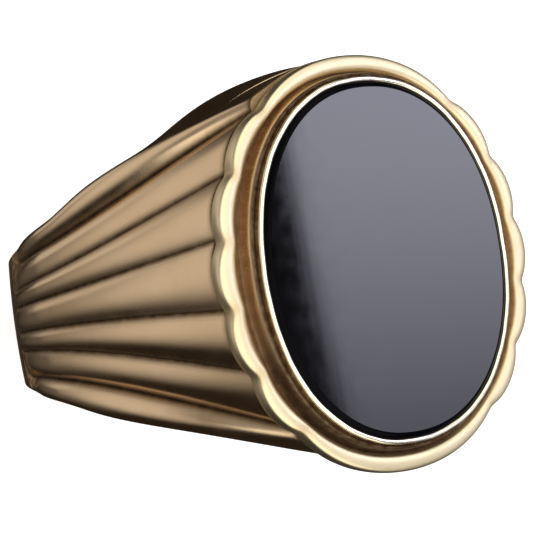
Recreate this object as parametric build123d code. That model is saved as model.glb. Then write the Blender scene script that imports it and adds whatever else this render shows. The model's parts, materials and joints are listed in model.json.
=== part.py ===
from build123d import *
import os
from math import sqrt

# Signet ring with fluted shoulders and an oval onyx table, in millimetres.
# Origin: centre of the finger bore.  +Z: up through the stone.  +Y: along the finger.

# ---- finger bore and band
bore_radius = 9.5
band_radius = 10.63           # outside of the plain band at the middle of its width
band_edge_drop = 0.17         # the band's outside is this much lower at its edges
band_half_width = 3.61        # at the lower ends of the reeds
band_seam_half_width = 3.37   # where the band meets the shoulders
band_foot_half_width = 2.35   # at the bottom of the ring
reed_radius = 10.8            # outside of the reeds at the ring's sides

# ---- heights up the ring
shank_seam_z = -4.6           # shoulders are soldered to the band here
reed_end_z = -3.2             # lower ends of the reeds
plate_top_z = 12.1
plate_thickness = 0.95
solder_thickness = 0.1
plate_bottom_z = plate_top_z - plate_thickness
shoulder_top_z = plate_bottom_z - solder_thickness

# ---- reeds of one shoulder, from the outer groove to the middle one
groove_rim_y = (6.89, 4.25, 1.52)
groove_end_y = (2.72, 1.47, 0.59)
groove_rim_inset = (3.10, 1.30, 0.42)
groove_end_inset = (0.70, 0.35, 0.20)
reed_sag_rim = 0.38
reed_sag_end = 0.20
outer_sag_rim = 0.20          # the two outermost reeds, which are fuller half way up
outer_sag_end = 0.27
outer_sag_gain = 1.1
crest_rim_x = 8.05            # middle reed's crest under the plate
side_rim_y = 8.15
side_rim_inset = 4.4
side_end_inset = 1.05
centre_rim_y = 9.06
section_heights = (reed_end_z, -1.0, 1.5, 4.0, 6.5, 8.8, shoulder_top_z)

# ---- scalloped table plate
notch_points = ((5.24, 7.00), (7.07, 4.375), (7.955, 1.48))
scallop_sag = 0.42
plate_half_length = 9.25
plate_edge_steps = ((0.0, 0.970), (0.20, 0.988), (0.55, 1.0), (0.80, 0.984), (0.95, 0.955))   # height, scale

# ---- stone and its setting, ovals given as (half width in X, half length in Y)
stone_half = (6.40, 7.88)
stone_base_z = 11.55
stone_girdle_z = 12.70
stone_top_z = 12.87
stone_bevel = 0.30
bezel_wall = 0.24
bezel_top_z = 12.75
cup_floor = 0.30
window_half = (5.0, 6.2)      # opening through the shoulders under the cup
collar_rings = ((12.10, 7.28, 8.50), (12.22, 7.14, 8.40), (12.36, 7.03, 8.33), (12.50, 6.90, 8.26))

bezel_half = (stone_half[0] + bezel_wall, stone_half[1] + bezel_wall)
cup_floor_top_z = plate_bottom_z + cup_floor
reach = 30.0                  # longer than the whole ring, for cutting tools


def reed_fraction(z):
    """0 at the reeds' lower ends, 1 under the plate."""
    return max(0.0, (z - reed_end_z) / (shoulder_top_z - reed_end_z))


def blend(low, high, fraction, power):
    return low + (high - low) * fraction ** power


def crest_x(z):
    """Distance of the middle reed's crest from the YZ plane."""
    if z <= 0:
        return sqrt(reed_radius ** 2 - z ** 2)
    rise = z / shoulder_top_z
    return reed_radius - (reed_radius - crest_rim_x) * (0.35 * rise + 0.65 * rise ** 2)


def band_x(y, z):
    """Outside of the plain band at the half-width y and height z."""
    radius = band_radius - band_edge_drop * (y / band_half_width) ** 2
    return sqrt(radius ** 2 - z ** 2)


def bulged(start, end, sag, z):
    """Arc from start to end that bulges away from the finger by sag."""
    middle = (Vector(*start) + Vector(*end)) * 0.5
    along = (Vector(*end) - Vector(*start)).normalized()
    outward = Vector(-along.Y, along.X)
    if outward.X < 0:
        outward = outward * -1
    top = middle + outward * sag
    return Edge.make_three_point_arc(
        Vector(start[0], start[1], z), Vector(top.X, top.Y, z), Vector(end[0], end[1], z)
    )


def close_section(grooves, side, centre_y, sags, z):
    """Closed wire at height z: seven arcs outside, two side walls and the line at the middle."""
    seam_x = solder_thickness / 2
    upper = [side] + list(grooves)
    corners = upper + [(x, -y) for x, y in reversed(upper)]
    outer_sag, sag = sags
    arc_sags = [outer_sag] + [sag] * (len(corners) - 3) + [outer_sag]
    edges = [bulged(a, b, rise, z) for a, b, rise in zip(corners, corners[1:], arc_sags)]
    for sign in (1, -1):
        start = Vector(side[0], sign * side[1], z)
        guide = Vector(side[0] * 0.5, sign * centre_y, z)
        end = Vector(seam_x, sign * centre_y, z)
        edges.append(Edge.make_bezier(start, guide, end))
    edges.append(Edge.make_line(Vector(seam_x, centre_y, z), Vector(seam_x, -centre_y, z)))
    return Wire(edges)


def reed_section(z):
    fraction = reed_fraction(z)
    crest = crest_x(z)
    grooves = []
    for rim_y, end_y, rim_in, end_in in zip(
        groove_rim_y, groove_end_y, groove_rim_inset, groove_end_inset
    ):
        x = crest - blend(end_in, rim_in, fraction, 2.5)
        grooves.append((x, blend(end_y, rim_y, fraction, 1.73)))
    side = (
        crest - blend(side_end_inset, side_rim_inset, fraction, 3.1),
        blend(band_half_width, side_rim_y, fraction, 1.26),
    )
    centre_y = blend(band_half_width, centre_rim_y, fraction, 0.9)
    sag = blend(reed_sag_end, reed_sag_rim, fraction, 1)
    outer_sag = blend(outer_sag_end, outer_sag_rim, fraction, 1)
    outer_sag += outer_sag_gain * fraction * (1 - fraction)
    return close_section(grooves, side, centre_y, (outer_sag, sag), z)


def band_section(z):
    grooves = [(band_x(y, z), y) for y in groove_end_y]
    side_y = band_seam_half_width
    side = (band_x(side_y, z) - 0.15, side_y)
    return close_section(grooves, side, side_y, (0.02, 0.02), z)


def finger_bore():
    return Cylinder(bore_radius, reach, rotation=(90, 0, 0))


def oval_prism(half, bottom_z, top_z):
    return Pos(0, 0, bottom_z) * extrude(Ellipse(half[0], half[1]), top_z - bottom_z)


def make_shoulder():
    """Right shoulder: seven reeds that fan out from the band to the plate."""
    reeds = Solid.make_loft([reed_section(z) for z in section_heights])
    neck = Solid.make_loft([band_section(shank_seam_z), reed_section(reed_end_z)], ruled=True)
    body = Part() + reeds + neck
    return body - finger_bore() - oval_prism(window_half, 0, reach)


def make_shank():
    """Plain band under the finger, rounded outside and narrower at the bottom."""
    half = band_seam_half_width
    profile = make_face(
        [
            Edge.make_three_point_arc((band_radius - band_edge_drop, -half), (band_radius, 0),
                                      (band_radius - band_edge_drop, half)),
            Edge.make_line((band_radius - band_edge_drop, half), (bore_radius, half)),
            Edge.make_line((bore_radius, half), (bore_radius, -half)),
            Edge.make_line((bore_radius, -half), (band_radius - band_edge_drop, -half)),
        ]
    )
    ring = revolve(profile, Axis.Y)
    top_z = shank_seam_z - solder_thickness
    foot = band_foot_half_width
    corners = [(-half, top_z), (half, top_z), (foot, -band_radius), (-foot, -band_radius)]
    taper = extrude(Plane.YZ * Polygon(*corners, align=None), reach / 2, both=True)
    return (ring & taper) - finger_bore()


def make_shank_solder():
    """Thin seam between the right shoulder and the band."""
    top = band_section(shank_seam_z)
    seam = extrude(make_face(top.edges()), -solder_thickness)
    return seam - finger_bore()


def head_outline():
    """Outline of both shoulders under the plate, as one closed face."""
    half_face = make_face(reed_section(shoulder_top_z).edges())
    both = half_face + mirror(half_face, Plane.YZ)
    bridge = Pos(0, 0, shoulder_top_z) * Rectangle(solder_thickness, 2 * centre_rim_y)
    return both + bridge


def make_head_solder():
    layer = extrude(head_outline(), solder_thickness)
    return layer - oval_prism(window_half, 0, reach)


def make_crown_solder(shoulder):
    """The two upright seams where the shoulders meet above the finger."""
    meeting_faces = shoulder.faces().filter_by(Axis.X).sort_by(Axis.X)[:2]
    return Part() + [extrude(face, solder_thickness, dir=(-1, 0, 0)) for face in meeting_faces]


def plate_wire(z, scale):
    """Outline of the plate at height z: five lobes on each side and two plain ends."""
    notches = [(x * scale, y * scale) for x, y in notch_points]
    right = notches + [(x, -y) for x, y in reversed(notches)]
    edges = [bulged(a, b, scallop_sag, z) for a, b in zip(right, right[1:])]
    edges += [edge.mirror(Plane.YZ) for edge in edges]
    x, y = notches[0]
    for sign in (1, -1):
        end = (0, sign * plate_half_length * scale, z)
        edges.append(Edge.make_three_point_arc((x, sign * y, z), end, (-x, sign * y, z)))
    return Wire(edges)


def make_table_plate():
    """Scalloped plate around the setting, with a rounded top edge."""
    wires = [plate_wire(plate_bottom_z + height, scale) for height, scale in plate_edge_steps]
    plate = Part() + Solid.make_loft(wires, ruled=True)
    return plate - oval_prism(bezel_half, 0, reach)


def make_collar():
    """Raised coved wall between the plate and the bezel."""
    rings = [Pos(0, 0, z) * Wire(Edge.make_ellipse(x, y)) for z, x, y in collar_rings]
    return Part() + Solid.make_loft(rings) - oval_prism(bezel_half, 0, reach)


def make_bezel_cup():
    """Cup that holds the stone: a floor and a thin wall."""
    cup = oval_prism(bezel_half, plate_bottom_z, bezel_top_z)
    return cup - oval_prism(stone_half, cup_floor_top_z, reach)


def make_stone():
    """Flat onyx tablet with a narrow bevelled edge."""
    body = oval_prism(stone_half, stone_base_z, stone_girdle_z)
    girdle = Pos(0, 0, stone_girdle_z) * Wire(Edge.make_ellipse(*stone_half))
    face = Pos(0, 0, stone_top_z) * Wire(
        Edge.make_ellipse(stone_half[0] - stone_bevel, stone_half[1] - stone_bevel)
    )
    return body + Solid.make_loft([girdle, face], ruled=True)


def make_cement():
    return oval_prism(stone_half, cup_floor_top_z, stone_base_z)


right_shoulder = make_shoulder()
right_shank_solder = make_shank_solder()

nodes = {
    "shank": make_shank(),
    "right_shoulder": right_shoulder,
    "left_shoulder": mirror(right_shoulder, Plane.YZ),
    "right_shank_solder": right_shank_solder,
    "left_shank_solder": mirror(right_shank_solder, Plane.YZ),
    "crown_solder": make_crown_solder(right_shoulder),
    "head_solder": make_head_solder(),
    "table_plate": make_table_plate(),
    "collar": make_collar(),
    "bezel_cup": make_bezel_cup(),
    "setting_cement": make_cement(),
    "onyx_stone": make_stone(),
}

os.makedirs("parts", exist_ok=True)
for name, shape in nodes.items():
    export_step(shape, f"parts/{name}.step")
    box = shape.bounding_box()
    print(f"{name:20s} volume {shape.volume:8.2f}  low {box.min}  high {box.max}")
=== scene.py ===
import json
from math import acos, asin, atan2, copysign, cos, exp, pi, radians, sin, sqrt

import bmesh
import bpy
from mathutils import Matrix, Vector


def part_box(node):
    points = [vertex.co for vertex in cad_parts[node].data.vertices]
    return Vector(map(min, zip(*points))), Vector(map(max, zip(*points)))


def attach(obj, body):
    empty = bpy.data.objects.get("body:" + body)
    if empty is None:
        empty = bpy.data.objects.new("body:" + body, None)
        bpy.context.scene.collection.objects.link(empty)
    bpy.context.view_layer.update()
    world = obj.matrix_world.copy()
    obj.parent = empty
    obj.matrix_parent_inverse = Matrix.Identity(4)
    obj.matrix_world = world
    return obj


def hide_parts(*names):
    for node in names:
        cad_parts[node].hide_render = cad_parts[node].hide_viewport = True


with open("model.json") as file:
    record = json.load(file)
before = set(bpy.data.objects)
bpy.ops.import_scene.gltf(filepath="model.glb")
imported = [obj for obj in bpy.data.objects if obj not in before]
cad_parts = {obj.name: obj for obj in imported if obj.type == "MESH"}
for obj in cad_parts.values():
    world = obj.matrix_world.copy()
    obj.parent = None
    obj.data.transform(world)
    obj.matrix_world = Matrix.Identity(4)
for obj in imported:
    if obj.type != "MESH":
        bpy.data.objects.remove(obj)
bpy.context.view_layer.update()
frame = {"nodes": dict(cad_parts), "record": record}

# Lengths below are millimetres in the CAD frame: origin in the finger bore, +Z up through the
# stone, +Y along the finger.  MM turns them into Blender's metres.
MM = 0.001


def node_box(name):
    """Lowest and highest corner of a CAD node, in millimetres."""
    low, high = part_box(name)
    return low / MM, high / MM


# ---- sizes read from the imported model
bore_radius = frame["record"]["mounts"][0]["dims"]["r_mm"]
shoulder_low, shoulder_high = node_box("right_shoulder")
plate_low, plate_high = node_box("table_plate")
bezel_low, bezel_high = node_box("bezel_cup")
stone_low, stone_high = node_box("onyx_stone")
collar_high = node_box("collar")[1]
shank_low, shank_high = node_box("shank")
seam_low, seam_high = node_box("right_shank_solder")

# ---- heights up the ring
shoulder_top = shoulder_high.z
seam_z = seam_high.z          # shoulders are soldered to the band here
solder_height = seam_high.z - seam_low.z
reed_end_z = -3.2             # lower ends of the reeds
reed_end_round = 0.6          # height over which the reeds' ends roll down to the band

# ---- band
band_radius = -shank_low.z    # outside of the band at the middle of its width
band_edge_drop = 0.17         # the band's outside is this much lower at its edges
band_half_width = 3.61        # at the lower ends of the reeds
seam_wear = 0.2               # the band's sides are worn back this much at the seam
neck_wear = 0.12              # and this much at the reeds' ends
seam_half_width = seam_high.y - seam_wear
band_foot_half_width = 2.35   # at the bottom of the ring
edge_width = 0.6              # the band's outer edges are worn round over this width
edge_drop_seam, edge_drop_reeds = 0.35, 0.55   # how far the worn edges fall
edge_sag = 0.16               # bulge of the worn edge below the reeds
inner_corner = 0.18           # radius of the band's inner edges

# ---- reeds of one shoulder, from the outer groove to the middle one
reed_radius = 10.73           # outside of the reeds at the ring's sides
groove_rim_y = (6.89, 4.25, 1.52)
groove_end_y = (2.72, 1.47, 0.59)
groove_rim_inset = (3.10, 1.30, 0.42)
groove_end_inset = (0.70, 0.35, 0.20)
reed_sag_rim = 0.42
reed_sag_end = 0.22
outer_sag_rim = 0.20          # the two outermost reeds, which are fuller half way up
outer_sag_end = 0.27
outer_sag_gain = 0.85
crest_rim_x = 8.05            # middle reed's crest under the plate
crest_bow = 0.65              # 0 would make the crest a straight line, 1 a parabola
side_rim_y = 7.6
side_rim_inset = 3.45
side_end_inset = 0.85
centre_rim_y = shoulder_high.y
# how each of these grows on its way up: 1 is even, more is later
groove_inset_power, groove_y_power = 2.5, 1.73
side_inset_power, side_y_power, centre_y_power = 3.1, 1.1, 0.9
arc_power = 0.8               # below 1, an outer reed or a lobe is fuller than a parabola
split_x = shoulder_low.x      # the shoulders stop this far from the middle, where they are soldered
window_half = (5.0, 6.2)      # opening through the shoulders under the cup

# ---- wear and irregularity; each dip is (depth, middle, reach), the last two in reed fractions
lean_end, lean_rim = -0.15, 0.21    # the ring leans a little along the finger
both_sides_dip = (0.15, 0.22, 0.14)
far_side_dip = (0.17, 0.30, 0.13)   # only on the +y side
flare_start, flare_rise = 0.61, 0.30   # reed fractions over which the +y side face spreads
widest_y = 9.24                     # the +y side face stands straight up at this y below the plate

# ---- scalloped plate
notch_points = ((5.20, 6.95), (7.01, 4.34), (7.88, 1.47))
scallop_sag = 0.50
end_fullness = 0.10           # the plain ends are a little squarer than an arc
plate_turn = radians(-0.9)    # the plate sits a little askew on the shoulders
plate_slip = -0.05            # the scalloped edge sits this far off centre along the finger
plate_inner = (7.12, 8.42)    # groove between the plate and the collar
stone_power = 2.16            # the stone and its setting are a little fuller than an ellipse
flank_end = 0.8               # share of the plate's width that the inner flank can take up
flank_pull = 0.8              # how far the flank is drawn in at the plain ends

# ---- tarnish and painted shade: how far from each groove or joint they reach
reed_groove_dark, outer_groove_dark = 0.18, 0.30
plate_joint_dark = 0.12
above_reed_end_dark, below_reed_end_dark = 0.30, 1.3
bore_edge_bright = 0.4        # width that the finger keeps bright beside the bore
notch_dark, notch_darkening = 0.3, 0.5             # reach of the darkening from a notch, and its strength there
plate_shade_side, plate_shade_end = 0.44, 0.14     # share of the plate's width that always carries painted shade
plate_shade_fade = 0.18
plate_patch_side, plate_patch_end = 0.56, 0.20   # the same, where the painted shade on the plate is strongest
plate_patch_fade = 0.2
collar_patch = 0.95           # strength of the patch of painted shade and tarnish on the collar
seam_dark, head_seam_dark = 0.5, 0.6
side_shade_angle = radians(248)  # the painted shade and tarnish round the setting are strongest on this side, away from the light
side_shade_gain, side_shade_power = 1.7, 2.2
TOUCH = 1e-4                  # heights closer than this count as equal

# ---- points along each part of an outline, and how often corners are evened out
REED_STEPS = 16
WALL_STEPS = 12
OUTER_STEPS = 22
LOBE_STEPS = 24
END_STEPS = 84
OVAL_STEPS = 240
STONE_STEPS = 320
BORE_STEPS = 9
BAND_STEPS = 40
BAND_ROWS = 121
BORE_LEVELS = 84
TOP_LEVELS = 12
WINDOW_LEVELS = 5
CORNER_PASSES = 3
END_PASSES = 30
NOTCH_PASSES = 2
REED_END_LEVELS = (0.0, 0.02, 0.06, 0.12, 0.2, 0.3, 0.45, 0.65, 0.85)   # shares of reed_end_round


# ------------------------------------------------------------------ mesh helpers
def new_piece(name, mesh, replaced):
    """Puts a mesh in the scene as a piece that stands for a CAD node and rides on the ring."""
    piece = bpy.data.objects.new(name, mesh)
    bpy.context.scene.collection.objects.link(piece)
    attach(piece, "root")
    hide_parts(replaced)
    return piece


class Sheet:
    """Grows a mesh from rows of points; each point may carry a crevice value from 0 to 1."""

    def __init__(self):
        self.mesh = bmesh.new()
        self.crevice = self.mesh.verts.layers.float.new("crevice")

    def row(self, points):
        verts = []
        for point in points:
            vert = self.mesh.verts.new(Vector(point[:3]) * MM)
            vert[self.crevice] = point[3] if len(point) > 3 else 0.0
            verts.append(vert)
        return verts

    def quads(self, rows, ring=False, loop=False):
        """Joins rows of vertices; ring closes each row, loop joins the last row to the first."""
        pairs = list(zip(rows, rows[1:]))
        if loop:
            pairs.append((rows[-1], rows[0]))
        for first, second in pairs:
            count = len(first)
            for i in range(count if ring else count - 1):
                j = (i + 1) % count
                self.face((first[i], first[j], second[j], second[i]))

    def grid(self, rows, ring=False, loop=False):
        verts = [self.row(points) for points in rows]
        self.quads(verts, ring, loop)
        return verts

    def face(self, verts):
        distinct = list(dict.fromkeys(verts))
        if len(distinct) > 2:
            self.mesh.faces.new(distinct)

    def finish(self, name, sharp_deg=28):
        """Welds the sheets together, points the faces outward and marks the sharp edges."""
        bmesh.ops.remove_doubles(self.mesh, verts=self.mesh.verts, dist=2 * TOUCH * MM)
        bmesh.ops.dissolve_degenerate(self.mesh, edges=self.mesh.edges, dist=TOUCH * MM)
        bmesh.ops.recalc_face_normals(self.mesh, faces=self.mesh.faces)
        data = bpy.data.meshes.new(name)
        self.mesh.to_mesh(data)
        self.mesh.free()
        for polygon in data.polygons:
            polygon.use_smooth = True
        data.set_sharp_from_angle(angle=radians(sharp_deg))
        return data


def spread(low, high, count):
    return [low + (high - low) * i / (count - 1) for i in range(count)]


def mixed(low, high, fraction, power=1.0):
    return low + (high - low) * fraction ** power


def eased(value):
    """0 up to 0, 1 from 1 on, with a smooth rise between."""
    value = min(1.0, max(0.0, value))
    return value * value * (3 - 2 * value)


def bell(distance, reach):
    """1 at distance 0, fading to nothing well beyond the reach."""
    return exp(-(distance / reach) ** 2)


def dip_at(dip, fraction):
    depth, middle, reach = dip
    return depth * bell(fraction - middle, reach)


# ------------------------------------------------------------------ shoulders
def crest_x(z):
    """Distance of the middle reed's crest from the YZ plane."""
    if z <= 0:
        return sqrt(reed_radius ** 2 - z ** 2)
    rise = z / shoulder_top
    share = (1 - crest_bow) * rise + crest_bow * rise ** 2
    return mixed(reed_radius, crest_rim_x, share)


def band_x(y, z):
    """Outside of the plain band at the half width y and height z."""
    radius = band_radius - band_edge_drop * (y / band_half_width) ** 2
    return sqrt(radius ** 2 - z ** 2)


def reed_fraction(z):
    """0 at the reeds' lower ends, 1 under the plate."""
    return min(1.0, max(0.0, (z - reed_end_z) / (shoulder_top - reed_end_z)))


def lean(z):
    """How far the ring leans along the finger at height z."""
    return mixed(lean_end, lean_rim, reed_fraction(z))


def reed_corners(z):
    """Groove points, side point, half width at the middle, and both sags at height z, for y > 0."""
    fraction = reed_fraction(z)
    crest = crest_x(z)
    grooves = []
    for rim_y, end_y, rim_in, end_in in zip(
        groove_rim_y, groove_end_y, groove_rim_inset, groove_end_inset
    ):
        x = crest - mixed(end_in, rim_in, fraction, groove_inset_power)
        grooves.append((x, mixed(end_y, rim_y, fraction, groove_y_power)))
    side_x = crest - mixed(side_end_inset, side_rim_inset, fraction, side_inset_power)
    side_y = mixed(band_half_width, side_rim_y, fraction, side_y_power)
    side_y -= dip_at(both_sides_dip, fraction)
    centre_y = mixed(band_half_width, centre_rim_y, fraction, centre_y_power)
    sag = mixed(reed_sag_end, reed_sag_rim, fraction)
    outer_sag = mixed(outer_sag_end, outer_sag_rim, fraction)
    outer_sag = outer_sag + outer_sag_gain * fraction * (1 - fraction)
    return grooves, (side_x, side_y), centre_y, sag, outer_sag


def reed_height(z):
    """Share of a reed's full height that is left at height z, near its lower end."""
    up = (z - reed_end_z) / reed_end_round
    if up <= 0:
        return 0.0
    if up >= 1:
        return 1.0
    return sqrt(1 - (1 - up) ** 2)


def one_reed(start, end, sag, z):
    """Points of one convex reed between two grooves, without the last point."""
    dx, dy = end[0] - start[0], end[1] - start[1]
    length = sqrt(dx * dx + dy * dy)
    nx, ny = -dy / length, dx / length
    if nx < 0:
        nx, ny = -nx, -ny
    points = []
    for i in range(REED_STEPS):
        s = -cos(pi * i / REED_STEPS)
        lift = sag * (1 - s * s)
        along = (1 + s) / 2
        # painted shade in the grooves, mixed with tarnish
        dark = bell((1 - abs(s)) * length / 2, reed_groove_dark)
        x = start[0] + dx * along + nx * lift
        y = start[1] + dy * along + ny * lift
        points.append((x, y, z, dark))
    return points


def softened(points, passes):
    """Evens out the corners of an open line whose ends stay in place."""
    for _ in range(passes):
        inner = [
            tuple((a + 2 * b + c) / 4 for a, b, c in zip(*three))
            for three in zip(points, points[1:], points[2:])
        ]
        points = [points[0]] + inner + [points[-1]]
    return points


def neck_rise(z):
    """0 at the seam, 1 from the reeds' ends on."""
    return min(1.0, (z - seam_z) / (reed_end_z - seam_z))


def neck_half_width(z):
    """Half width of the plain band between the reeds' ends and the seam."""
    return mixed(seam_half_width, band_half_width - neck_wear, neck_rise(z))


def side_flare(z, centre_y):
    """The +y side face spreads towards the plate's full width below the plate."""
    return eased((reed_fraction(z) - flare_start) / flare_rise) * (widest_y - lean(z) - centre_y)


def outer_side(side, groove, centre_y, outer_sag, inner_x, spread_y, end_share):
    """Line from the bore's edge round the outermost reed to its groove.

    The side wall is a curve from the split plane to the side point, cut off at the bore.
    Its corner is evened out more where end_share is near 1.
    """
    ax, ay = side
    limit = (ax - sqrt(max(0.0, ax * ax - 4 * split_x * (ax - inner_x)))) / (2 * split_x)
    limit = min(1.0, max(0.0, limit))
    wall = []
    for k, u in enumerate(spread(limit, 0.0, WALL_STEPS)):
        x = ax * (1 - u) + split_x * u * u
        extra = spread_y * (1 - k / (WALL_STEPS - 1))
        wall.append((x, (1 - u) ** 2 * ay + (2 * u - u * u) * centre_y + extra))
    wall[0] = (inner_x, wall[0][1])
    dx, dy = groove[0] - ax, groove[1] - ay
    length = sqrt(dx * dx + dy * dy)
    nx, ny = -dy / length, dx / length
    arc = []
    for t in spread(-1, 1, OUTER_STEPS)[1:]:
        rise = outer_sag * (1 - t * t) ** arc_power
        along = (1 + t) / 2
        arc.append((ax + dx * along + nx * rise, ay + dy * along + ny * rise))
    crisp = softened(wall + arc, CORNER_PASSES)
    round_end = softened(crisp, END_PASSES)
    return [
        (mixed(crisp_x, round_x, end_share), mixed(crisp_y, round_y, end_share))
        for (crisp_x, crisp_y), (round_x, round_y) in zip(crisp[:-1], round_end)
    ]


def outline(z):
    """The shoulder's outside at height z, from the bore's edge at +y to the one at -y."""
    grooves, side, centre_y, sag, outer_sag = reed_corners(z)
    share = reed_height(z)
    inner_x = max(split_x, sqrt(max(0.0, bore_radius ** 2 - z ** 2)))
    if share < 1:
        grooves = [(mixed(band_x(y, z), x, share), y) for x, y in grooves]
        side_y = min(side[1], neck_half_width(z))
        neck_x = band_x(side_y, z) - mixed(edge_drop_seam, edge_drop_reeds, neck_rise(z))
        side = (mixed(neck_x, side[0], share), mixed(side_y, side[1], share))
        centre_y = mixed(side_y, centre_y, share)
        sag = sag * share
        outer_sag = mixed(edge_sag, outer_sag, share)
    groove = grooves[0]
    halves = []
    end_share = (1 - reed_fraction(z)) ** 5   # 1 at the reeds' lower ends, soon gone above them
    dip = dip_at(far_side_dip, reed_fraction(z))
    # first the +y half, then the -y half, which neither spreads nor dips
    for spread_y, narrower in ((side_flare(z, centre_y), dip), (0.0, 0.0)):
        half = []
        edge = (side[0], side[1] - narrower)
        for x, y in outer_side(
            edge, groove, centre_y - narrower, outer_sag, inner_x, spread_y, end_share
        ):
            # painted shade near the outer groove, mixed with tarnish
            from_groove = sqrt((x - groove[0]) ** 2 + (y - groove[1]) ** 2)
            half.append((x, y, z, bell(from_groove, outer_groove_dark)))
        for start, end in zip(grooves, grooves[1:]):
            half += one_reed(start, end, sag, z)
        halves.append(half)
    middle_end = (grooves[-1][0], -grooves[-1][1])
    middle = one_reed(grooves[-1], middle_end, sag, z)
    last_groove = (grooves[-1][0], -grooves[-1][1], z, 1.0)
    other = [(x, -y, z, dark) for x, y, z, dark in reversed(halves[1])]
    points = halves[0] + middle + [last_groove] + other
    # painted shade, mixed with tarnish, under the plate and round the reeds' lower ends
    end_reach = above_reed_end_dark if z > reed_end_z else below_reed_end_dark
    recess = max(bell(shoulder_top - z, plate_joint_dark), bell(z - reed_end_z, end_reach))
    shift = lean(z)
    shaded = []
    for x, y, z, dark in points:
        off_bore = min(1.0, (x - inner_x) / bore_edge_bright) if z < bore_radius else 1.0
        shaded.append((x, y + shift, z, max(dark * share, recess * off_bore)))
    return shaded


def shoulder_levels():
    """Heights of the rows: even steps round the bore, then up to the plate."""
    start = asin(seam_z / bore_radius)
    end = acos(split_x / bore_radius)
    levels = [bore_radius * sin(a) for a in spread(start, end, BORE_LEVELS)]
    levels += [reed_end_z + reed_end_round * k for k in REED_END_LEVELS]
    levels.append(bore_radius * sin(acos(window_half[0] / bore_radius)))
    levels += spread(bore_radius, shoulder_top, TOP_LEVELS)[1:]
    return sorted(set(round(z, 5) for z in levels))


def window_y(x):
    """Half length of the oval window at x, or 0 beside it."""
    return window_half[1] * sqrt(max(0.0, 1 - (x / window_half[0]) ** 2))


def make_shoulder(name, sign):
    """One shoulder, closed all round; it is built on the +x side, and sign -1 mirrors it."""
    sheet = Sheet()
    rows = [outline(z) for z in shoulder_levels()]
    sheet.grid(rows)
    bore_rows = {1: [], -1: []}
    wall_top = {1: [], -1: []}
    bore_limit = sqrt(bore_radius ** 2 - split_x ** 2) + TOUCH
    for points in rows:
        z = points[0][2]
        if z > bore_limit:
            continue
        x = points[0][0]
        hole_y = window_y(x)
        for side, end in ((1, points[0]), (-1, points[-1])):
            across = [(x, y, z) for y in spread(end[1], side * hole_y, BORE_STEPS)]
            bore_rows[side].append(across)
            if x <= window_half[0] + 10 * TOUCH:
                upright = [(x, side * hole_y, h) for h in spread(z, shoulder_top, WINDOW_LEVELS)]
                wall_top[side].append(upright)
    for side in (1, -1):
        sheet.grid(bore_rows[side])
        sheet.grid(wall_top[side])
    # seam faces where the two shoulders meet, the face under the plate and the lower end
    for side in (1, -1):
        ends = [points[0] if side > 0 else points[-1] for points in rows]
        seam = [end for end in ends if end[2] > bore_limit - 2 * TOUCH]
        inner = list(reversed(wall_top[side][-1]))
        sheet.face(sheet.row(seam + inner))
    window_edge = [column[-1] for column in wall_top[-1]]
    window_edge = list(reversed(window_edge)) + [column[-1] for column in wall_top[1]][1:]
    sheet.face(sheet.row(rows[-1] + window_edge))
    inside = bore_rows[-1][0][1:] + list(reversed(bore_rows[1][0][1:-1]))
    sheet.face(sheet.row(rows[0] + inside))
    if sign < 0:
        bmesh.ops.scale(sheet.mesh, vec=(-1, 1, 1), verts=sheet.mesh.verts)
    mesh = sheet.finish(name)
    return new_piece(name, mesh, name.replace("reeded_", ""))


# ------------------------------------------------------------------ plate, collar, bezel
def plate_outline():
    """Outline of the plate as (x, y, closeness to a notch), all the way round."""
    turn_cos, turn_sin = cos(plate_turn), sin(plate_turn)
    right = list(notch_points) + [(x, -y) for x, y in reversed(notch_points)]
    half = []
    for a, b in zip(right, right[1:]):
        dx, dy = b[0] - a[0], b[1] - a[1]
        length = sqrt(dx * dx + dy * dy)
        nx, ny = -dy / length, dx / length
        for i in range(LOBE_STEPS):
            along = i / LOBE_STEPS
            lift = scallop_sag * (4 * along * (1 - along)) ** arc_power
            notch = bell(min(along, 1 - along) * length, notch_dark)
            half.append((a[0] + dx * along + nx * lift, a[1] + dy * along + ny * lift, notch))
    x, y = notch_points[0]
    top = plate_high.y
    radius = (x * x + (top - y) ** 2) / (2 * (top - y))
    reach = asin(x / radius)
    for i in range(END_STEPS):
        a = mixed(reach, -reach, i / END_STEPS)
        notch = bell((reach - abs(a)) * radius, notch_dark)
        full = end_fullness * 4 * (a / reach) ** 2 * (1 - (a / reach) ** 2)
        half.append((radius * sin(a), -(top - radius + radius * cos(a) + full), notch))
    half = [
        (x * turn_cos - y * turn_sin, x * turn_sin + y * turn_cos, notch) for x, y, notch in half
    ]
    points = half + [(-x, -y, notch) for x, y, notch in half]
    for _ in range(NOTCH_PASSES):
        before, after = points[-1:] + points[:-1], points[1:] + points[:1]
        points = [
            tuple((p + 2 * q + r) / 4 for p, q, r in zip(*three))
            for three in zip(before, points, after)
        ]
    return points


def oval_point(angle, half_x, half_y, power=2.0):
    """Point of an oval; a power above 2 fills out its shoulders."""
    c, s = cos(angle), sin(angle)
    x, y = copysign(abs(c) ** (2 / power), c), copysign(abs(s) ** (2 / power), s)
    return (half_x * x, half_y * y)


def oval_at(point, half_x, half_y, power=2.0):
    """The point of an oval that lies on the same spoke as the given point."""
    x, y = point[0] / half_x, point[1] / half_y
    angle = atan2(copysign(abs(y) ** (power / 2), y), copysign(abs(x) ** (power / 2), x))
    return oval_point(angle, half_x, half_y, power)


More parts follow.
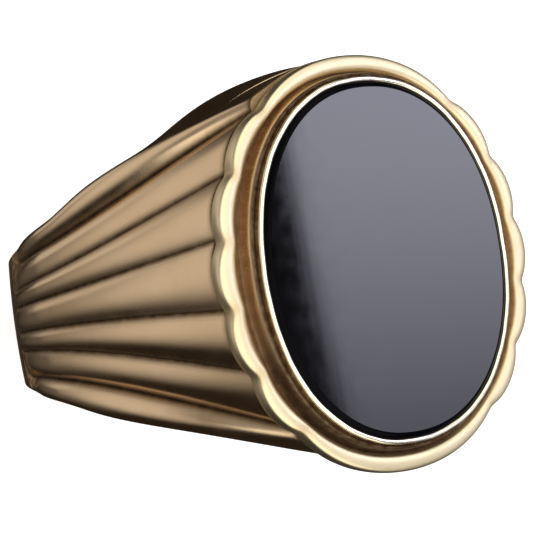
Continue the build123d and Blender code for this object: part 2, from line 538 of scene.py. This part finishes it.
def make_plate():
    """Scalloped bead: flat top, round outside, inner flank that falls to the collar's foot."""
    edge = plate_outline()
    top, bottom = plate_high.z, plate_low.z
    # (share of the way from the groove to the outer edge, height)
    profile = (
        (-0.30, bottom), (0.20, bottom), (0.60, bottom), (0.76, bottom + 0.03),
        (0.86, bottom + 0.09), (0.93, bottom + 0.19), (0.975, bottom + 0.33),
        (0.995, bottom + 0.47), (1.0, bottom + 0.60), (0.994, bottom + 0.70),
        (0.978, bottom + 0.78), (0.945, bottom + 0.845), (0.90, bottom + 0.888),
        (0.84, bottom + 0.917), (0.77, bottom + 0.935), (0.69, bottom + 0.945), (0.60, top),
        (0.51, top - 0.004), (0.42, top - 0.017), (0.35, top - 0.04), (0.29, top - 0.075),
        (0.24, top - 0.12), (0.19, top - 0.17), (0.14, top - 0.22), (0.08, top - 0.27),
        (0.0, top - 0.31), (-0.08, top - 0.33), (-0.30, top - 0.33),
    )
    sheet = Sheet()
    rows = []
    for share, z in profile:
        on_top = z > bottom + 0.3
        row = []
        for x, y, notch in edge:
            inner_x, inner_y = oval_at((x, y), *plate_inner, stone_power)
            end = abs(sin(atan2(y, x))) ** 4   # 1 at the plain ends, soon gone along the lobes
            # painted shade on the plate's inner flank and on its side away from the light
            shade_to = mixed(plate_shade_side, plate_shade_end, end)
            patch_to = mixed(plate_patch_side, plate_patch_end, end)
            dimmed = eased((shade_to - share) / plate_shade_fade) if on_top else 0.0
            # darker near each notch
            at_notch = notch_darkening * notch * max(0.0, share) ** 2
            patch = eased((patch_to - share) / plate_patch_fade) * side_shade_share(atan2(y, x))
            dark = max(dimmed, at_notch, patch)
            slip = plate_slip * max(0.0, share)
            at = flank_share(share, end) if on_top else share
            row.append((mixed(inner_x, x, at), mixed(inner_y, y, at) + slip, z, dark))
        rows.append(row)
    sheet.grid(rows, ring=True, loop=True)
    mesh = sheet.finish("scalloped_plate", sharp_deg=50)
    return new_piece("scalloped_plate", mesh, "table_plate")


def flank_share(share, end):
    """Draws the inner flank in at the plate's plain ends, where the flat top reaches further in."""
    if not 0 < share < flank_end:
        return share
    return share - flank_pull * end * share * (1 - share / flank_end)


def oval_rows(profile, steps=OVAL_STEPS, shade_and_tarnish=0.0):
    """Rows of an oval ring; each profile entry is (half x, half y, z, crevice)."""
    rows = []
    for half_x, half_y, z, dark in profile:
        row = []
        for i in range(steps):
            angle = 2 * pi * i / steps
            # painted shade and tarnish on the side away from the light
            dimmed = max(dark, shade_and_tarnish * side_shade_share(angle))
            row.append((*oval_point(angle, half_x, half_y, stone_power), z, dimmed))
        rows.append(row)
    return rows


def side_shade_share(angle):
    """How strong the painted shade and tarnish round the setting are at an angle, 0 to 1."""
    return min(1.0, side_shade_gain * max(0.0, cos(angle - side_shade_angle)) ** side_shade_power)


def smooth_profile(points, per_span=5):
    """Catmull-Rom points through a profile's stations, ends included."""
    result = []
    last = len(points) - 1
    for i in range(last):
        p0, p1, p2, p3 = points[max(i - 1, 0)], points[i], points[i + 1], points[min(i + 2, last)]
        for k in range(per_span):
            t = k / per_span
            result.append(tuple(
                0.5 * (2 * b + (c - a) * t + (2 * a - 5 * b + 4 * c - d) * t * t
                       + (3 * b - a - 3 * c + d) * t ** 3)
                for a, b, c, d in zip(p0, p1, p2, p3)
            ))
    result.append(points[-1])
    return result


def make_collar():
    """Coved wall that rises from the plate's inner flank to the bezel."""
    foot, top = plate_high.z - 0.34, collar_high.z
    clearance = 0.005
    inner_x, inner_y = bezel_high.x + clearance, bezel_high.y + clearance
    # (half x, half y, height, crevice)
    # the crevice values paint shade into the cove at the foot and into the joint with the bezel at
    # the top
    outside = smooth_profile([
        (7.20, 8.45, foot, 1.0), (7.11, 8.415, foot + 0.04, 0.9),
        (7.04, 8.38, foot + 0.14, 0.15), (6.99, 8.35, foot + 0.28, 0.1),
        (6.955, 8.33, foot + 0.44, 0.0), (6.92, 8.31, top - 0.16, 0.0),
        (6.88, 8.285, top - 0.08, 0.7), (6.83, 8.255, top - 0.035, 1.0),
        (6.76, 8.21, top - 0.03, 1.0), (6.70, 8.165, top - 0.06, 1.0),
        (inner_x, inner_y, top - 0.10, 1.0),
    ])
    inside = [(inner_x, inner_y, z, 0.0) for z in spread(top - 0.2, foot - 0.2, 4)]
    under = [(7.20, 8.45, foot - 0.2, 0.0)]
    sheet = Sheet()
    sheet.grid(oval_rows(outside + inside + under, shade_and_tarnish=collar_patch), ring=True, loop=True)
    mesh = sheet.finish("coved_collar", sharp_deg=45)
    return new_piece("coved_collar", mesh, "collar")


# the burnished strip is not quite even: (size, waves round the stone, start)
strip_ripples = ((0.010, 9, 1.3), (0.007, 23, 0.4), (0.004, 57, 0.0))
strip_ripple_depth = 0.021    # all the ripples together
strip_reach = 8               # about the strip's half length
strip_height = 0.2            # part of the wall that ripples
strip_dip = 0.25              # share of a ripple that also lowers the strip


def rippled(point, top):
    """A bezel point, moved a little if it is on the strip along the top."""
    x, y, z, dark = point
    if z <= top - strip_height or not (x or y):
        return point
    angle = atan2(y, x)
    ripple = sum(size * sin(waves * angle + start) for size, waves, start in strip_ripples)
    shrink = 1 - max(0.0, ripple + strip_ripple_depth) / strip_reach
    return (x * shrink, y * shrink, z - strip_dip * abs(ripple), dark)


def make_bezel():
    """Cup under the stone with a thin burnished wall that shows as a bright strip, partly a painted
    highlight in its near-white gold.
    """
    wall = 0.24
    out_x, out_y = bezel_high.x, bezel_high.y
    in_x, in_y = out_x - wall, out_y - wall
    top, floor = bezel_high.z, stone_low.z - 0.10
    profile = [(0.0, 0.0, bezel_low.z, 0.0)]
    profile += [(out_x * s, out_y * s, bezel_low.z, 0.0) for s in (0.25, 0.5, 0.75, 1.0)]
    profile += [(out_x, out_y, z, 0.0) for z in spread(bezel_low.z + 0.05, top - 0.12, 8)]
    # rounded lip as (distance in from the outside, distance below the top, crevice)
    lip = (
        (0.006, 0.055, 0.0), (0.022, 0.022, 0.0), (0.055, 0.004, 0.0), (0.12, 0.0, 0.0),
        (0.185, 0.004, 0.0), (0.22, 0.025, 0.2),
    )
    profile += [(out_x - inward, out_y - inward, top - down, dark) for inward, down, dark in lip]
    # painted shade where the strip meets the stone
    profile.append((in_x, in_y, top - 0.07, 1.0))
    profile += [(in_x, in_y, z, 0.0) for z in spread(top - 0.15, floor, 4)]
    profile += [(in_x * s, in_y * s, floor, 0.0) for s in (0.75, 0.5, 0.25, 0.0)]
    sheet = Sheet()
    rows = [[rippled(point, top) for point in row] for row in oval_rows(profile)]
    sheet.grid(rows, ring=True)
    mesh = sheet.finish("bezel_strip_and_cup", sharp_deg=45)
    return new_piece("bezel_strip_and_cup", mesh, "bezel_cup")


def make_stone():
    """Flat polished tablet with a narrow bevel, both edges just broken.

    The crevice value is 1 on the bevel, which is ground duller than the face.
    """
    clearance = 0.012
    half_x, half_y = stone_high.x - clearance, stone_high.y - clearance
    low, top = stone_low.z, stone_high.z
    bevel, drop = 0.22, 0.17
    profile = [(half_x * s, half_y * s, low, 0.0) for s in (0.0, 0.5, 0.97)]
    # edge as (distance in from the girdle, height, crevice)
    edge = (
        (0.0, low + 0.15, 0.0), (0.0, top - drop - 0.04, 0.0), (0.004, top - drop - 0.015, 0.0),
        (0.02, top - drop + 0.003, 1.0), (bevel - 0.04, top - 0.026, 1.0),
        (bevel - 0.012, top - 0.010, 1.0), (bevel + 0.02, top - 0.001, 1.0),
        (bevel + 0.05, top, 1.0), (bevel + 0.06, top, 0.0),
    )
    profile += [(half_x - inward, half_y - inward, z, dark) for inward, z, dark in edge]
    profile += [((half_x - 0.5) * s, (half_y - 0.5) * s, top, 0.0) for s in (1.0, 0.5, 0.0)]
    sheet = Sheet()
    sheet.grid(oval_rows(profile, steps=STONE_STEPS), ring=True)
    mesh = sheet.finish("onyx_tablet", sharp_deg=60)
    return new_piece("onyx_tablet", mesh, "onyx_stone")


# ------------------------------------------------------------------ band and solder
def band_profile(half):
    """Closed section of the band as (y, radius): the outside, then the bore side."""
    points = []
    for k in range(BAND_STEPS + 1):
        y = half * cos(pi * k / BAND_STEPS)
        edge = half - abs(y)
        radius = band_radius - band_edge_drop * (y / band_half_width) ** 2
        if edge < edge_width:
            radius -= edge_drop_seam * (1 - sqrt(1 - (1 - edge / edge_width) ** 2))
        points.append((y, radius))
    for k in range(BAND_STEPS + 1):
        y = -half * cos(pi * k / BAND_STEPS)
        edge = half - abs(y)
        radius = bore_radius
        if edge < inner_corner:
            radius += inner_corner - sqrt(inner_corner ** 2 - (inner_corner - edge) ** 2)
        points.append((y, radius))
    return points


def make_band():
    """Plain band under the finger, from one seam round to the other, narrower at the bottom."""
    sheet = Sheet()
    rows = []
    depth = -shank_high.z
    for turn in spread(0.0, 1.0, BAND_ROWS):
        middle = asin(depth / band_radius)
        z = -band_radius * sin(mixed(middle, pi - middle, turn))
        fall = min(1.0, max(0.0, (shank_high.z - z) / (shank_high.z + band_radius)))
        row = []
        for y, radius in band_profile(mixed(seam_half_width, band_foot_half_width, fall)):
            start = asin(depth / radius)
            angle = mixed(start, pi - start, turn)
            row.append((radius * cos(angle), y + lean_end, -radius * sin(angle)))
        rows.append(row)
    verts = sheet.grid(rows, ring=True)
    for end in (verts[0], verts[-1]):
        sheet.face(end)
    mesh = sheet.finish("plain_band", sharp_deg=40)
    return new_piece("plain_band", mesh, "shank")


def make_seam(name, sign):
    """Solder film between a shoulder and the band, flush with both."""
    sheet = Sheet()
    rows = []
    for z in (seam_z, seam_z - solder_height / 2, seam_z - solder_height):
        row = []
        for y, radius in band_profile(seam_half_width):
            row.append((sign * sqrt(radius ** 2 - z ** 2), y + lean_end, z, seam_dark))
        rows.append(row)
    verts = sheet.grid(rows, ring=True)
    for end in (verts[0], verts[-1]):
        sheet.face(end)
    mesh = sheet.finish(name, sharp_deg=40)
    return new_piece(name, mesh, name.replace("_seam", "_shank_solder"))


def make_crown_seams():
    """The two upright seams where the shoulders meet, flush with the leaning side faces."""
    sheet = Sheet()
    bore_limit = sqrt(bore_radius ** 2 - split_x ** 2)
    rows = [outline(z) for z in spread(bore_limit, shoulder_top, TOP_LEVELS)]
    sunk = 0.02
    for side, end in ((1, 0), (-1, -1)):
        rings = []
        for points in rows:
            outer, z = points[end][1] - side * sunk, points[end][2]
            inner = side * window_half[1]
            corners = ((-split_x, outer), (split_x, outer), (split_x, inner), (-split_x, inner))
            rings.append([(x, y, z) for x, y in corners])
        verts = sheet.grid(rings, ring=True)
        for cap in (verts[0], verts[-1]):
            sheet.face(cap)
    mesh = sheet.finish("crown_seams", sharp_deg=40)
    return new_piece("crown_seams", mesh, "crown_solder")


def make_head_seam():
    """Solder film between the shoulders and the plate, with the window left open."""
    right = [(x, y) for x, y, _, _ in outline(shoulder_top)]
    edge = right + [(-x, y) for x, y in reversed(right)]
    shrink_x, shrink_y = 0.996, 0.998
    outer = [(x * shrink_x, y * shrink_y) for x, y in edge]
    inner = [oval_at(point, *window_half) for point in edge]
    low, high = shoulder_top, plate_low.z
    lines = ((outer, low), (outer, high), (inner, high), (inner, low))
    rows = [[(x, y, z, head_seam_dark) for x, y in line] for line, z in lines]
    sheet = Sheet()
    sheet.grid(rows, ring=True, loop=True)
    mesh = sheet.finish("head_seam", sharp_deg=40)
    return new_piece("head_seam", mesh, "head_solder")


# ------------------------------------------------------------------ materials
def new_material(name):
    """Empty node material with a Principled shader; returns it with its nodes, links and shader."""
    material = bpy.data.materials.new(name)
    material.use_nodes = True
    nodes = material.node_tree.nodes
    nodes.clear()
    output = nodes.new("ShaderNodeOutputMaterial")
    shader = nodes.new("ShaderNodeBsdfPrincipled")
    material.node_tree.links.new(shader.outputs["BSDF"], output.inputs["Surface"])
    return material, nodes, material.node_tree.links, shader


def object_noise(nodes, links, scale, stretch=(1, 1, 1), detail=3.0, rough=0.55):
    """Noise in object space; scale is in features per metre."""
    where = nodes.new("ShaderNodeTexCoord")
    mapping = nodes.new("ShaderNodeMapping")
    mapping.inputs["Scale"].default_value = stretch
    noise = nodes.new("ShaderNodeTexNoise")
    noise.inputs["Scale"].default_value = scale
    noise.inputs["Detail"].default_value = detail
    noise.inputs["Roughness"].default_value = rough
    links.new(where.outputs["Object"], mapping.inputs["Vector"])
    links.new(mapping.outputs["Vector"], noise.inputs["Vector"])
    return noise.outputs["Fac"]


def ranged(nodes, links, value, low, high, to_low, to_high):
    """Maps a value's range onto another and holds it there."""
    span = nodes.new("ShaderNodeMapRange")
    span.inputs["From Min"].default_value = low
    span.inputs["From Max"].default_value = high
    span.inputs["To Min"].default_value = to_low
    span.inputs["To Max"].default_value = to_high
    links.new(value, span.inputs["Value"])
    return span.outputs["Result"]


def combined(nodes, links, kind, first, second):
    """Math node on two values or sockets; a sum is held between 0 and 1."""
    node = nodes.new("ShaderNodeMath")
    node.operation = kind
    node.use_clamp = kind == "ADD"
    for socket, value in zip(node.inputs, (first, second)):
        if isinstance(value, (int, float)):
            socket.default_value = value
        else:
            links.new(value, socket)
    return node.outputs["Value"]


def colour_mix(nodes, links, factor, first, second):
    """Mixes two colours, each given as a tuple or a socket."""
    node = nodes.new("ShaderNodeMix")
    node.data_type = "RGBA"
    links.new(factor, node.inputs["Factor"])
    for side, colour in (("A", first), ("B", second)):
        if isinstance(colour, tuple):
            node.inputs[side].default_value = (*colour, 1)
        else:
            links.new(colour, node.inputs[side])
    return node.outputs["Result"]


def bumped(nodes, links, height, strength, depth):
    """Bump node, with its depth in millimetres."""
    bump = nodes.new("ShaderNodeBump")
    bump.inputs["Strength"].default_value = strength
    bump.inputs["Distance"].default_value = depth * MM
    links.new(height, bump.inputs["Height"])
    return bump


SHADE_AND_TARNISH_COVER = 0.97          # share of the gold that full tarnish and painted shade hide
SHADE_AND_TARNISH_ROUGHNESS = 0.35      # how much rougher full tarnish and painted shade are


def gold(name, tones, shade_and_tarnish, roughness, scratches=0.05):
    """Worn polished gold: it drifts between two tones, tarnish and painted shade follow the crevice
    value, fine scratches.
    """
    material, nodes, links, shader = new_material(name)
    shader.inputs["Metallic"].default_value = 1.0

    drift = object_noise(nodes, links, 260, detail=4.0)
    drift = ranged(nodes, links, drift, 0.35, 0.7, 0.0, 1.0)
    tone = colour_mix(nodes, links, drift, *tones)

    # the crevice value paints shade into grooves, joints and turned-away faces, mixed with tarnish
    crevice = nodes.new("ShaderNodeAttribute")
    crevice.attribute_name = "crevice"
    patch_noise = object_noise(nodes, links, 2600, detail=5.0)
    patchy = ranged(nodes, links, patch_noise, 0.3, 0.6, 0.86, 1.0)
    shade_and_tarnish_share = combined(nodes, links, "MULTIPLY", crevice.outputs["Fac"], patchy)
    shade_and_tarnish_share = combined(nodes, links, "MULTIPLY", shade_and_tarnish_share, SHADE_AND_TARNISH_COVER)

    links.new(colour_mix(nodes, links, shade_and_tarnish_share, tone, shade_and_tarnish), shader.inputs["Base Color"])

    haze = object_noise(nodes, links, 700, detail=6.0, rough=0.7)
    base_rough = ranged(nodes, links, haze, 0.3, 0.75, *roughness)
    shade_and_tarnish_rough = combined(nodes, links, "MULTIPLY", shade_and_tarnish_share, SHADE_AND_TARNISH_ROUGHNESS)
    links.new(combined(nodes, links, "ADD", base_rough, shade_and_tarnish_rough), shader.inputs["Roughness"])

    lines_up = object_noise(nodes, links, 2400, stretch=(1, 1, 0.05), detail=2.0)
    lines_across = object_noise(nodes, links, 2100, stretch=(1, 0.06, 0.5), detail=2.0)
    lines = combined(nodes, links, "MULTIPLY", lines_up, lines_across)
    fine = bumped(nodes, links, lines, scratches, 0.02)
    soft = bumped(nodes, links, object_noise(nodes, links, 900, detail=2.0), 0.10, 0.05)
    links.new(fine.outputs["Normal"], soft.inputs["Normal"])
    links.new(soft.outputs["Normal"], shader.inputs["Normal"])
    return material


def onyx(name):
    """Black polished stone: faint cloud in the black, faint hairlines in the polish."""
    material, nodes, links, shader = new_material(name)
    shader.inputs["IOR"].default_value = 1.54
    cloud = object_noise(nodes, links, 220, stretch=(1, 0.5, 1), detail=4.0)
    cloud = ranged(nodes, links, cloud, 0.35, 0.7, 0.0, 1.0)
    tone = colour_mix(nodes, links, cloud, (0.0015, 0.0015, 0.0025), (0.004, 0.0035, 0.005))
    links.new(tone, shader.inputs["Base Color"])
    haze = object_noise(nodes, links, 1500, detail=5.0)
    links.new(ranged(nodes, links, haze, 0.3, 0.75, 0.03, 0.055), shader.inputs["Roughness"])
    ground_edge = nodes.new("ShaderNodeAttribute")
    ground_edge.attribute_name = "crevice"
    dimmed = ranged(nodes, links, ground_edge.outputs["Fac"], 0.0, 1.0, 0.5, 0.02)
    links.new(dimmed, shader.inputs["Specular IOR Level"])
    hairs = object_noise(nodes, links, 1800, stretch=(1, 0.05, 1), detail=2.0)
    bump = bumped(nodes, links, hairs, 0.02, 0.01)
    links.new(bump.outputs["Normal"], shader.inputs["Normal"])
    return material


def cement(name):
    """Grainy setting cement."""
    material, nodes, links, shader = new_material(name)
    grain = object_noise(nodes, links, 4000, detail=6.0)
    tone = colour_mix(nodes, links, grain, (0.30, 0.24, 0.17), (0.20, 0.16, 0.11))
    links.new(tone, shader.inputs["Base Color"])
    links.new(ranged(nodes, links, grain, 0.3, 0.7, 0.7, 0.9), shader.inputs["Roughness"])
    bump = bumped(nodes, links, grain, 0.4, 0.03)
    links.new(bump.outputs["Normal"], shader.inputs["Normal"])
    return material


def dress(piece, material):
    piece.data.materials.clear()
    piece.data.materials.append(material)


# ------------------------------------------------------------------ camera, floor and light
view_tilt = radians(33.62)    # from straight down, towards the left shoulder
view_dip = radians(-2.51)     # and from there towards +Y
view_roll = radians(-8.19)    # the picture's own turn
view_distance = 103.47
view_aim = (-4.724, -0.208)   # across and up the picture from the ring's middle at view_level
view_level = 11.6
view_lens = 158.62

floor_radius = 800
floor_gap = 0.02              # the band stands just clear of the floor


def make_camera():
    """Camera that looks down on the stone and the left shoulder, rolled a little."""
    back = Vector((-sin(view_tilt) * cos(view_dip), sin(view_dip), cos(view_tilt) * cos(view_dip)))
    level = Vector((0, 1, 0)).cross(back).normalized()
    upright = back.cross(level)
    right = level * cos(view_roll) + upright * sin(view_roll)
    up = upright * cos(view_roll) - level * sin(view_roll)
    aim = Vector((0, 0, view_level)) + right * view_aim[0] + up * view_aim[1]
    place = (aim + back * view_distance) * MM
    data = bpy.data.cameras.new("camera")
    data.lens = view_lens
    data.clip_start = 0.005
    data.clip_end = 10
    camera = bpy.data.objects.new("camera", data)
    bpy.context.scene.collection.objects.link(camera)
    turn = Matrix((right, up, back)).transposed()
    camera.matrix_world = Matrix.Translation(place) @ turn.to_4x4()
    bpy.context.scene.camera = camera


def make_floor():
    """Round pale floor under the band, left out of reflections."""
    mesh = bpy.data.meshes.new("floor")
    shape = bmesh.new()
    bmesh.ops.create_circle(shape, cap_ends=True, segments=96, radius=floor_radius * MM)
    bmesh.ops.translate(shape, verts=shape.verts, vec=(0, 0, (shank_low.z - floor_gap) * MM))
    shape.to_mesh(mesh)
    shape.free()
    floor = bpy.data.objects.new("floor", mesh)
    bpy.context.scene.collection.objects.link(floor)
    floor.visible_glossy = False
    material, _, _, shader = new_material("pale_floor")
    shader.inputs["Base Color"].default_value = (0.85, 0.85, 0.85, 1)
    shader.inputs["Roughness"].default_value = 1.0
    shader.inputs["Specular IOR Level"].default_value = 0.0
    shader.inputs["Emission Color"].default_value = (1, 1, 1, 1)
    shader.inputs["Emission Strength"].default_value = 0.55
    dress(floor, material)


class Surround:
    """World light: reflections see a dim room with soft lit areas, all else sees plain white."""

    def __init__(self):
        world = bpy.data.worlds.new("studio")
        bpy.context.scene.world = world
        world.use_nodes = True
        self.nodes, self.links = world.node_tree.nodes, world.node_tree.links
        self.nodes.clear()
        where = self.nodes.new("ShaderNodeTexCoord")
        unit = self.nodes.new("ShaderNodeVectorMath")
        unit.operation = "NORMALIZE"
        self.links.new(where.outputs["Generated"], unit.inputs[0])
        self.direction = unit.outputs["Vector"]
        self.total = None

    def dot(self, axis):
        """How far the direction lies along an axis."""
        node = self.nodes.new("ShaderNodeVectorMath")
        node.operation = "DOT_PRODUCT"
        self.links.new(self.direction, node.inputs[0])
        node.inputs[1].default_value = axis
        return node.outputs["Value"]

    def step(self, value, low, high, to_low=0.0, to_high=1.0):
        """Smooth change from to_low to to_high while the value goes from low to high."""
        node = self.nodes.new("ShaderNodeMapRange")
        node.interpolation_type = "SMOOTHSTEP"
        node.inputs["From Min"].default_value = low
        node.inputs["From Max"].default_value = high
        node.inputs["To Min"].default_value = to_low
        node.inputs["To Max"].default_value = to_high
        self.links.new(value, node.inputs["Value"])
        return node.outputs["Result"]

    def times(self, first, second):
        return combined(self.nodes, self.links, "MULTIPLY", first, second)

    def add(self, factor, colour, strength):
        """Adds a light area to the room."""
        node = self.nodes.new("ShaderNodeVectorMath")
        node.operation = "SCALE"
        node.inputs[0].default_value = [c * strength for c in colour]
        self.links.new(factor, node.inputs["Scale"])
        if self.total is None:
            self.total = node.outputs["Vector"]
            return
        joined = self.nodes.new("ShaderNodeVectorMath")
        joined.operation = "ADD"
        self.links.new(self.total, joined.inputs[0])
        self.links.new(node.outputs["Vector"], joined.inputs[1])
        self.total = joined.outputs["Vector"]

    def glow_factor(self, direction, full_deg, gone_deg):
        """Round soft light: full inside the first angle, gone outside the second."""
        facing = self.dot(Vector(direction).normalized())
        return self.step(facing, cos(radians(gone_deg)), cos(radians(full_deg)))

    def glow(self, direction, full_deg, gone_deg, colour, strength):
        self.add(self.glow_factor(direction, full_deg, gone_deg), colour, strength)

    def close(self, room, backdrop):
        """Adds the dim room to the lit areas, and the backdrop for all but reflections."""
        joined = self.nodes.new("ShaderNodeVectorMath")
        joined.operation = "ADD"
        self.links.new(self.total, joined.inputs[0])
        joined.inputs[1].default_value = room
        mirrored = self.nodes.new("ShaderNodeBackground")
        self.links.new(joined.outputs["Vector"], mirrored.inputs["Color"])
        plain = self.nodes.new("ShaderNodeBackground")
        plain.inputs["Color"].default_value = (*backdrop, 1)
        path = self.nodes.new("ShaderNodeLightPath")
        mix = self.nodes.new("ShaderNodeMixShader")
        output = self.nodes.new("ShaderNodeOutputWorld")
        self.links.new(path.outputs["Is Glossy Ray"], mix.inputs["Fac"])
        self.links.new(plain.outputs["Background"], mix.inputs[1])
        self.links.new(mirrored.outputs["Background"], mix.inputs[2])
        self.links.new(mix.outputs["Shader"], output.inputs["Surface"])


def towards(lon_deg, lat_deg):
    """Direction at a longitude (0 is -X, 90 is +Y) and a height above the horizon."""
    lon, lat = radians(lon_deg), radians(lat_deg)
    return (-cos(lat) * cos(lon), cos(lat) * sin(lon), sin(lat))


def make_surround():
    """Every lit area of the room, as products of soft steps along fixed directions."""
    studio = Surround()
    cool, cream, tan_light = (1.0, 1.01, 1.20), (1.0, 0.96, 0.84), (1.0, 0.93, 0.82)
    # key softbox: seen in the stone, brightest towards +Y, with a slanted near edge
    across = studio.step(studio.dot((1.0, 0.08, 0.0)), 0.567, 0.577)
    far_edge = studio.step(studio.dot((1, 0, 0)), 0.66, 0.76, 1.0, 0.28)
    upper = studio.step(studio.dot((0, 0, 1)), 0.50, 0.66)
    rise = studio.step(studio.dot((0, 1, 0)), -0.09, 0.12, 0.20, 1.0)
    side_edge = studio.step(studio.dot((0, 1, 0)), 0.16, 0.36, 1.0, 0.30)
    key = studio.times(studio.times(across, far_edge), upper)
    studio.add(studio.times(studio.times(key, rise), side_edge), cool, 4.85)
    # bright ceiling over the left side and both ends, with a dim gap on the left towards +Y
    ceiling = studio.step(studio.dot((0, 0, 1)), 0.10, 0.45)
    near_side = studio.step(studio.dot((1, 0, 0)), 0.52, 0.36)
    gap = studio.step(studio.dot(towards(40, 5)), 0.60, 0.80, 1.0, 0.18)
    studio.add(studio.times(studio.times(ceiling, near_side), gap), cream, 1.75)
    # warm light low on the left, brightest a little towards +Y, fading up and down
    low_light = studio.glow_factor(towards(24, -17), 10, 62)
    fade = studio.step(studio.dot((0, 0, 1)), -0.97, -0.30)
    upper_fade = studio.step(studio.dot((0, 0, 1)), 0.0, 0.22, 1.0, 0.25)
    low_light = studio.times(low_light, upper_fade)
    past_side = studio.step(studio.dot(towards(-28, 0)), -0.25, 0.2)
    studio.add(studio.times(studio.times(low_light, fade), past_side), tan_light, 0.72)
    # two faint lights from below on the left, seen in the reeds' lower flanks
    studio.glow(towards(5, -56), 8, 40, tan_light, 0.11)
    studio.glow(towards(56, -52), 6, 22, tan_light, 0.5)
    # weak fill from the far side
    far_side = studio.step(studio.dot((1, 0, 0)), 0.60, 0.95)
    low_wall = studio.step(studio.dot((0, 0, 1)), -0.45, 0.10)
    studio.add(studio.times(far_side, low_wall), cream, 0.5)
    studio.close(room=(0.022, 0.015, 0.010), backdrop=(1.0, 1.0, 1.0))


# ------------------------------------------------------------------ assemble
make_camera()

# two tones, the colour of tarnish and painted shade, and the least and greatest roughness of each
# metal part
shoulder_metal = gold(
    "shoulder_gold", ((0.78, 0.60, 0.42), (0.72, 0.54, 0.36)), (0.06, 0.03, 0.012), (0.16, 0.26)
)
band_metal = gold(
    "band_gold", ((0.78, 0.57, 0.36), (0.71, 0.50, 0.31)), (0.16, 0.085, 0.04), (0.15, 0.28)
)
# lighter, creamier copy of the gold: painted light that makes the plate read as lit
plate_metal_lit_tone = gold(
    "plate_gold", ((0.78, 0.68, 0.48), (0.75, 0.64, 0.43)), (0.24, 0.12, 0.045), (0.34, 0.44)
)
collar_metal = gold(
    "collar_gold", ((0.76, 0.60, 0.42), (0.71, 0.54, 0.36)), (0.05, 0.02, 0.008), (0.2, 0.3)
)
# near-white copy of the gold: a painted highlight for the bright strip
bezel_metal_painted_highlight = gold(
    "bezel_gold", ((0.93, 0.86, 0.72), (0.88, 0.79, 0.62)), (0.10, 0.06, 0.03), (0.12, 0.25),
    scratches=0.12,
)
solder_metal = gold(
    "solder_gold", ((0.70, 0.54, 0.35), (0.62, 0.46, 0.30)), (0.18, 0.10, 0.05), (0.28, 0.42)
)

dress(make_shoulder("reeded_left_shoulder", -1), shoulder_metal)
dress(make_shoulder("reeded_right_shoulder", 1), shoulder_metal)
dress(make_plate(), plate_metal_lit_tone)
dress(make_collar(), collar_metal)
dress(make_bezel(), bezel_metal_painted_highlight)
dress(make_stone(), onyx("black_onyx"))
dress(make_band(), band_metal)
dress(make_seam("left_seam", -1), solder_metal)
dress(make_seam("right_seam", 1), solder_metal)
dress(make_crown_seams(), solder_metal)
dress(make_head_seam(), solder_metal)
dress(frame["nodes"]["setting_cement"], cement("cement"))

make_floor()
make_surround()
bpy.context.scene.view_settings.view_transform = "Standard"
